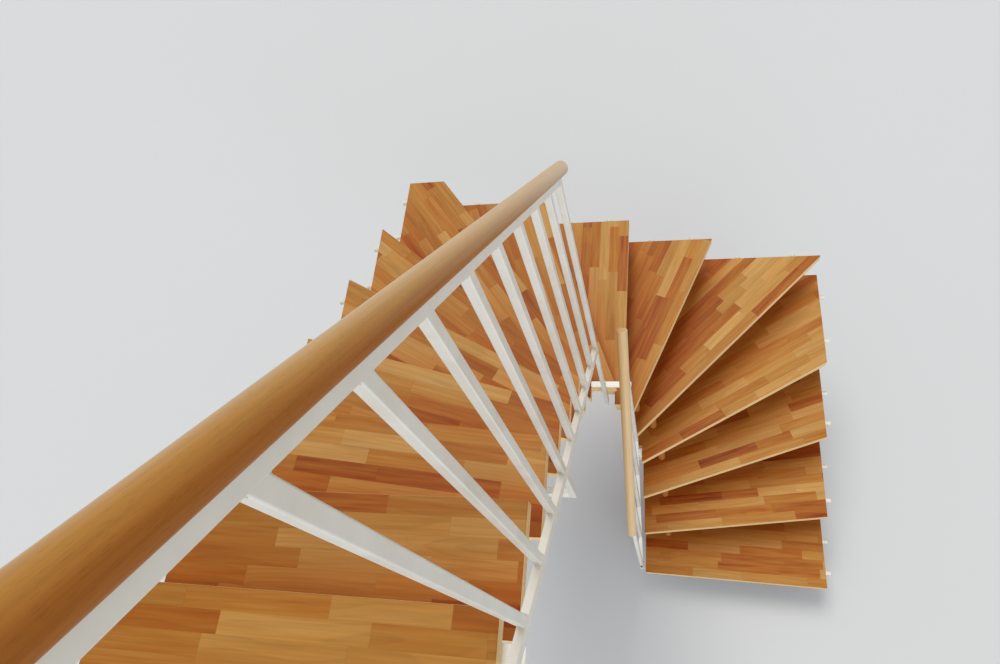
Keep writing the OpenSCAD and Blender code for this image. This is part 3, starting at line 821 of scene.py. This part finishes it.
# a white piece, and its screws with their heads standing out the given way
def platePiece(name, node, shells, screwPlaces, way):
    piece = buildPiece(name, shells, powderWhite)
    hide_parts(node)
    for place in screwPlaces:
        screws.append(screwShell(place, way, plates["screw"]))


downwards = (0, 0, -1)
upwards = (0, 0, 1)
low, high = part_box("lower_foot_bracket")
middle = (low.y + high.y) / 2
places = [(high.x - d, middle, low.z) for d in plates["footScrews"]]
platePiece("footBracket", "lower_foot_bracket", [plateShell(low, high)], places, downwards)

low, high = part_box("lower_lug")
places = [(low.x, (low.y + high.y) / 2, low.z + d) for d in plates["lugScrews"]]
platePiece("treadLug", "lower_lug", [plateShell(low, high, plates["lugCorner"], plates["lugArris"])],
           places, (-1, 0, 0))

low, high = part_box("upper_top_bracket")
side, end = plates["nearRow"]
places = [(low.x + side, y, low.z) for y in (low.y + end, (low.y + high.y) / 2, high.y - end)]
side, end = plates["farRow"]
places += [(low.x + side, y, low.z) for y in (low.y + end, high.y - end)]
platePiece("topBracket", "upper_top_bracket", [plateShell(low, high, plates["topCorner"])], places, downwards)

low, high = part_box("well_end_bar")
platePiece("wellEndBar", "well_end_bar", [plateShell(low, high, arris=plates["lugArris"])], [], downwards)

# arm under the thirteenth tread: a level bar, a hanger and a square plate with four screws
armLook = {
    "plate": 0.060, "plateCorner": 0.005, "armHigh": 0.028, "bar": 0.020, "tip": 0.001,
    "sunk": 0.01,            # how far the hanger starts inside the bar
    "screwInset": 0.009,
    # radius and depth below the plate, and how far out the weld's four flats lie
    "weld": [(0.0150, 0), (0.0135, 0.0012), (0.0128, 0.003), (0.0120, 0.004)], "weldFlat": 0.0125,
}
low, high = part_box("upper_middle_bracket")
hanger = low.x + armLook["plate"] / 2
middle = (low.y + high.y) / 2
half = armLook["armHigh"] / 2
plateLow = high.z - plateThick
bar = armLook["bar"]
arm = rodShell(barProfile(bar, armLook["armHigh"], bars["arris"]), (hanger - bar / 2, middle, low.z + half),
               (high.x, middle, low.z + half), (0, 1, 0), upwards, armLook["tip"], half)
post = uprightBar(hanger, middle - bar / 2, low.z + armLook["armHigh"] - armLook["sunk"],
                  high.z - plateThick / 2, 0, 0, bar, bar, bars["arris"])
pad = plateShell((low.x, low.y, plateLow), (low.x + armLook["plate"], high.y, high.z), armLook["plateCorner"])
weld = turnedShell(armLook["weld"], (hanger, middle, plateLow), downwards, 40, 4, armLook["weldFlat"])
reach = armLook["plate"] / 2 - armLook["screwInset"]
places = [(hanger + a * reach, middle + b * reach, plateLow) for a in (-1, 1) for b in (-1, 1)]
platePiece("underTreadArm", "upper_middle_bracket", [arm, post, pad, weld], places, downwards)
print("stair: brackets built")

# step bolts

boltLook = {
    "sleeve": 0.034, "chamfer": 0.0015, "chamferHold": 0.0005, "grainStep": 2.0,
    "washer": 0.028, "washerHigh": 0.003, "washerSoft": (0.0006, 0.0005),      # in and up
    "nut": 0.022, "nutHigh": 0.010, "nutSoft": (0.97, 0.0016),                 # as a share, and up
    "stud": 0.012, "studEnd": 0.002, "studSoft": 0.001, "studSunk": 0.002,
}


# beech sleeve with chamfered ends
def sleeveShell(x, y, treadTop):
    full, cut, hold = boltLook["sleeve"] / 2, boltLook["chamfer"], boltLook["chamferHold"]
    high = riser - treadThick
    sleeve = [(full - cut, 0), (full, cut), (full, cut + hold),
              (full, high - cut - hold), (full, high - cut), (full - cut, high)]
    return turnedShell(sleeve, (x, y, treadTop), upwards, 32)


# washer, chamfered nut and the end of the stud, below a tread
def fastenerShells(x, y, treadTop):
    look = boltLook
    under = treadTop - treadThick
    washer, thick = look["washer"] / 2, look["washerHigh"]
    back, up = look["washerSoft"]
    disc = [(washer - back, 0), (washer, up), (washer, thick - up), (washer - back, thick)]
    corner, tall = look["nut"] / 2, look["nutHigh"]
    flat = corner * math.cos(math.pi / 6)
    share, up = look["nutSoft"]
    nut = [(flat * share, 0), (corner, up), (corner, tall - up), (flat * share, tall)]
    stud, end, soft = look["stud"] / 2, look["studEnd"], look["studSoft"]
    tip = [(stud, -look["studSunk"]), (stud, end - soft), (stud - soft, end)]
    return [turnedShell(disc, (x, y, under), downwards, 32),
            turnedShell(nut, (x, y, under - thick), downwards, 36, 6, flat),
            turnedShell(tip, (x, y, under - thick - tall), downwards, 24)]


fasteners = []
for k, (x, y) in enumerate(boltCentres, 1):
    shell = sleeveShell(x, y, k * riser)
    points = shell.reshape(-1, 3)
    grain = np.stack([points[:, 2] - k * riser, points[:, 0] - x,
                      points[:, 1] - y + boltLook["grainStep"] * k], -1)
    piece = buildPiece("sleeve_%d" % k, [shell], heartBeech, grain)
    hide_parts("step_bolt_%d" % k)
    fasteners += fastenerShells(x, y, k * riser)
buildPiece("boltFasteners", fasteners, zincSteel)

# anchors at the outer edges of the treads

anchorLook = {
    "flange": 0.024, "flangeHigh": 0.003, "flangeSoft": 0.0006, "shoulder": 0.001,
    "collar": 0.020, "fillet": 0.0015,
    "groove": 0.0006, "grooveSpan": (0.003, 0.002),      # from the tread
    "near": 1.05,            # vertices within this many flange widths belong to one anchor
    "level": 1e-4,           # and those this close to the outermost plane to a flange
    "sideGap": 0.024, "backGap": 0.015,
}


# every solid of a group of anchors sits where the CAD's has its flange: the middle of each flange
# is the middle of the vertices that lie near it in the outermost plane
def anchorPlaces(node, axis, sign):
    points = cadPoints(node)
    outermost = (points[:, axis] * sign).max() * sign
    left = points[np.abs(points[:, axis] - outermost) < anchorLook["level"]]
    found = []
    while len(left):
        near = np.linalg.norm(left - left[0], axis=1) < anchorLook["flange"] * anchorLook["near"]
        found.append((left[near].max(0) + left[near].min(0)) / 2)
        left = left[~near]
    return found


# round flange, a hollow shoulder, and a collar with a groove just before the tread
def anchorShell(place, inward, gap):
    look = anchorLook
    flange, high, soft = look["flange"] / 2, look["flangeHigh"], look["flangeSoft"]
    shoulder = look["shoulder"]
    collar, fillet, groove = look["collar"] / 2, look["fillet"], look["groove"]
    start, end = (gap - way for way in look["grooveSpan"])
    profile = [(flange - soft, 0), (flange, soft), (flange, high - shoulder), (flange - shoulder, high),
               (collar + fillet, high), (collar, high + fillet), (collar, start - groove),
               (collar - groove, start), (collar - groove, end), (collar, end + groove), (collar, gap)]
    return turnedShell(profile, place, inward, 32)


for name, node, axis, sign, gap in (
        ("rightAnchors", "right_wall_anchors", 0, 1, anchorLook["sideGap"]),
        ("backAnchors", "back_wall_anchors", 1, 1, anchorLook["backGap"]),
        ("leftAnchors", "left_wall_anchors", 0, -1, anchorLook["sideGap"])):
    inward = np.eye(3)[axis] * -sign
    shells = [anchorShell(place, inward, gap) for place in anchorPlaces(node, axis, sign)]
    piece = buildPiece(name, shells, powderWhite)
    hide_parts(node)
print("stair: bolts and anchors built")

softEdge = {"merge": 1e-5, "flat": 1, "sharp": 35, "bevelFrom": 40, "width": 0.0008}      # metres, degrees


# CAD pieces with holes keep their shape: a merged copy gets a small bevel on its sharp edges
def softCopy(name, node, material):
    mesh = cadNodes[node].data.copy()
    shape = bmesh.new()
    shape.from_mesh(mesh)
    bmesh.ops.remove_doubles(shape, verts=shape.verts, dist=softEdge["merge"])
    bmesh.ops.dissolve_limit(shape, angle_limit=math.radians(softEdge["flat"]),
                             verts=shape.verts, edges=shape.edges)
    for face in shape.faces:
        face.smooth = True
    shape.to_mesh(mesh)
    shape.free()
    mesh.set_sharp_from_angle(angle=math.radians(softEdge["sharp"]))
    mesh.materials.clear()
    mesh.materials.append(material)
    piece = addObject(name, mesh)
    bevel = piece.modifiers.new("arris", "BEVEL")
    bevel.width = softEdge["width"]
    bevel.segments = 2
    bevel.limit_method = "ANGLE"
    bevel.angle_limit = math.radians(softEdge["bevelFrom"])
    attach(piece, "root")
    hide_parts(node)


softCopy("landingAngle", "landing_angle", zincSteel)
softCopy("floorFoot", "floor_foot", zincSteel)

# weld beads around the foot's tube, screws up into the first tread and up into the top tread
footLook = {
    "tube": 0.042, "baseHigh": 0.008, "head": 0.080, "headHigh": 0.005,
    "weld": 0.004, "root": 0.001,
    "hollow": (0.45, 0.12),      # where the weld's face passes between its legs, as shares of one
    "screw": 0.0042, "screwOut": 0.001,      # how far the screws stand outside the ring's middle
}
low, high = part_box("floor_foot")
tube, leg = footLook["tube"] / 2, footLook["weld"]
far, near = footLook["hollow"]
bead = [(tube + leg, 0), (tube + leg * far, leg * near), (tube + leg * near, leg * far), (tube, leg),
        (tube - footLook["root"], leg)]
headLow = high.z - footLook["headHigh"]
beads = [turnedShell(bead, (0, 0, footLook["baseHigh"]), upwards, 48),
         turnedShell(bead, (0, 0, headLow), downwards, 48)]
buildPiece("footWelds", beads, zincSteel)
ring = (footLook["head"] / 2 + tube) / 2 + footLook["screwOut"]
for quarter in range(4):
    turn = math.pi / 4 + quarter * math.pi / 2
    place = (ring * math.cos(turn), ring * math.sin(turn), headLow)
    screws.append(screwShell(place, downwards, footLook["screw"]))
angleLook = {"thick": 0.005, "screws": 4, "fromEnds": 0.05, "fromEdge": 0.022}
low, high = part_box("landing_angle")
for x in np.linspace(low.x + angleLook["fromEnds"], high.x - angleLook["fromEnds"], angleLook["screws"]):
    place = (x, high.y - angleLook["fromEdge"], high.z - angleLook["thick"])
    screws.append(screwShell(place, downwards, plates["screw"]))
buildPiece("screws", screws, zincSteel)
print("stair: foot, angle and", len(screws), "screws built")

# backdrop, light and camera

studio = {
    "reach": 400.0, "drop": 0.0005, "colour": "#D0CFCC", "bounce": "#98948C", "roughness": 0.9, "gloss": 0.2,
    "sky": "#FBFCFF",
    "horizon": 0.20, "middle": 0.68, "middleAt": 0.3, "zenith": 0.53,      # the sky's strength, by height
    "backdrop": 0.66,        # and to the camera
    "keyFrom": (-0.12, 0.42, 0.90), "keyPower": 1.35, "keyAngle": 30.0, "key": "#FFFFFF",
    "frontFrom": (0.28, -0.94, 0.20), "frontPower": 2.75, "frontAngle": 60.0,
    "front": "#DCEDFF",      # the light from the front is cool, as from an overcast sky
}
reach = studio["reach"]
corners = [(x * reach, y * reach, -studio["drop"]) for x, y in ((-1, -1), (1, -1), (1, 1), (-1, 1))]
mesh = bpy.data.meshes.new("studioFloor")
mesh.from_pydata(corners, [], [(0, 1, 2, 3)])
floor = addObject("studioFloor", mesh)


# one for rays from the camera, off gloss and through glass, and nothing for scattered light
def seenDirectly(tree):
    rays = put(tree, "LightPath", out=None).outputs
    seen = put(tree, "Math", {0: rays["Is Camera Ray"], 1: rays["Is Glossy Ray"]}, operation="MAXIMUM")
    return put(tree, "Math", {0: seen, 1: rays["Is Transmission Ray"]}, operation="MAXIMUM")


# the backdrop is pale to the camera and throws less light back up, so that undersides stay dark
floorPaint, tree = newMaterial("matteFloorPaint")
tints = {0: seenDirectly(tree), 6: linear(studio["bounce"]), 7: linear(studio["colour"])}
tint = put(tree, "Mix", tints, out=2, data_type="RGBA")
finish = {"Base Color": tint, "Roughness": studio["roughness"], "Specular IOR Level": studio["gloss"]}
paint = put(tree, "BsdfPrincipled", finish)
put(tree, "OutputMaterial", {"Surface": paint}, out=None)
mesh.materials.append(floorPaint)

# the sky is dark at the horizon, so that sides get less light than faces that look up; what the
# camera sees of it is plain and pale
world = bpy.data.worlds.new("studioSky")
world.use_nodes = True
tree = world.node_tree
tree.nodes.clear()
generated = put(tree, "TexCoord", out="Generated")
height = put(tree, "SeparateXYZ", {0: generated}, out=2)
glow = put(tree, "ValToRGB", {0: height}, stops=[
    (0.0, studio["horizon"]), (studio["middleAt"], studio["middle"]), (1.0, studio["zenith"])])
strengths = {0: seenDirectly(tree), 2: glow, 3: studio["backdrop"]}
strength = put(tree, "Mix", strengths, data_type="FLOAT")
sky = put(tree, "Background", {0: linear(studio["sky"]), 1: strength})
put(tree, "OutputWorld", {0: sky}, out=None)
bpy.context.scene.world = world


# sunlight from a direction, its disc as wide as an angle in degrees: the wider, the softer
def addSun(name, source, power, angle, colour):
    lamp = bpy.data.lights.new(name, "SUN")
    lamp.color = linear(colour)[:3]
    lamp.energy = power
    lamp.angle = math.radians(angle)
    addObject(name, lamp).rotation_euler = Vector(source).to_track_quat("Z", "Y").to_euler()


addSun("keySun", studio["keyFrom"], studio["keyPower"], studio["keyAngle"], studio["key"])
addSun("frontSun", studio["frontFrom"], studio["frontPower"], studio["frontAngle"], studio["front"])

# where the photograph was taken from
view = {
    "place": (0.06995, -0.67507, 4.10740), "heading": 0.4842334, "tilt": 0.5147979, "roll": -0.4436636,
    "lens": 25.716, "sensor": 36.0, "clipStart": 0.02,
}
cameraData = bpy.data.cameras.new("stairCamera")
cameraData.sensor_fit = "HORIZONTAL"
cameraData.sensor_width = view["sensor"]
cameraData.lens = view["lens"]
cameraData.clip_start = view["clipStart"]
camera = addObject("stairCamera", cameraData)
camera.matrix_world = (Matrix.Translation(view["place"]) @ Matrix.Rotation(view["heading"], 4, "Z")
                       @ Matrix.Rotation(view["tilt"], 4, "X") @ Matrix.Rotation(view["roll"], 4, "Z"))
bpy.context.scene.camera = camera
bpy.context.scene.view_settings.view_transform = "Standard"
print("stair: studio set")
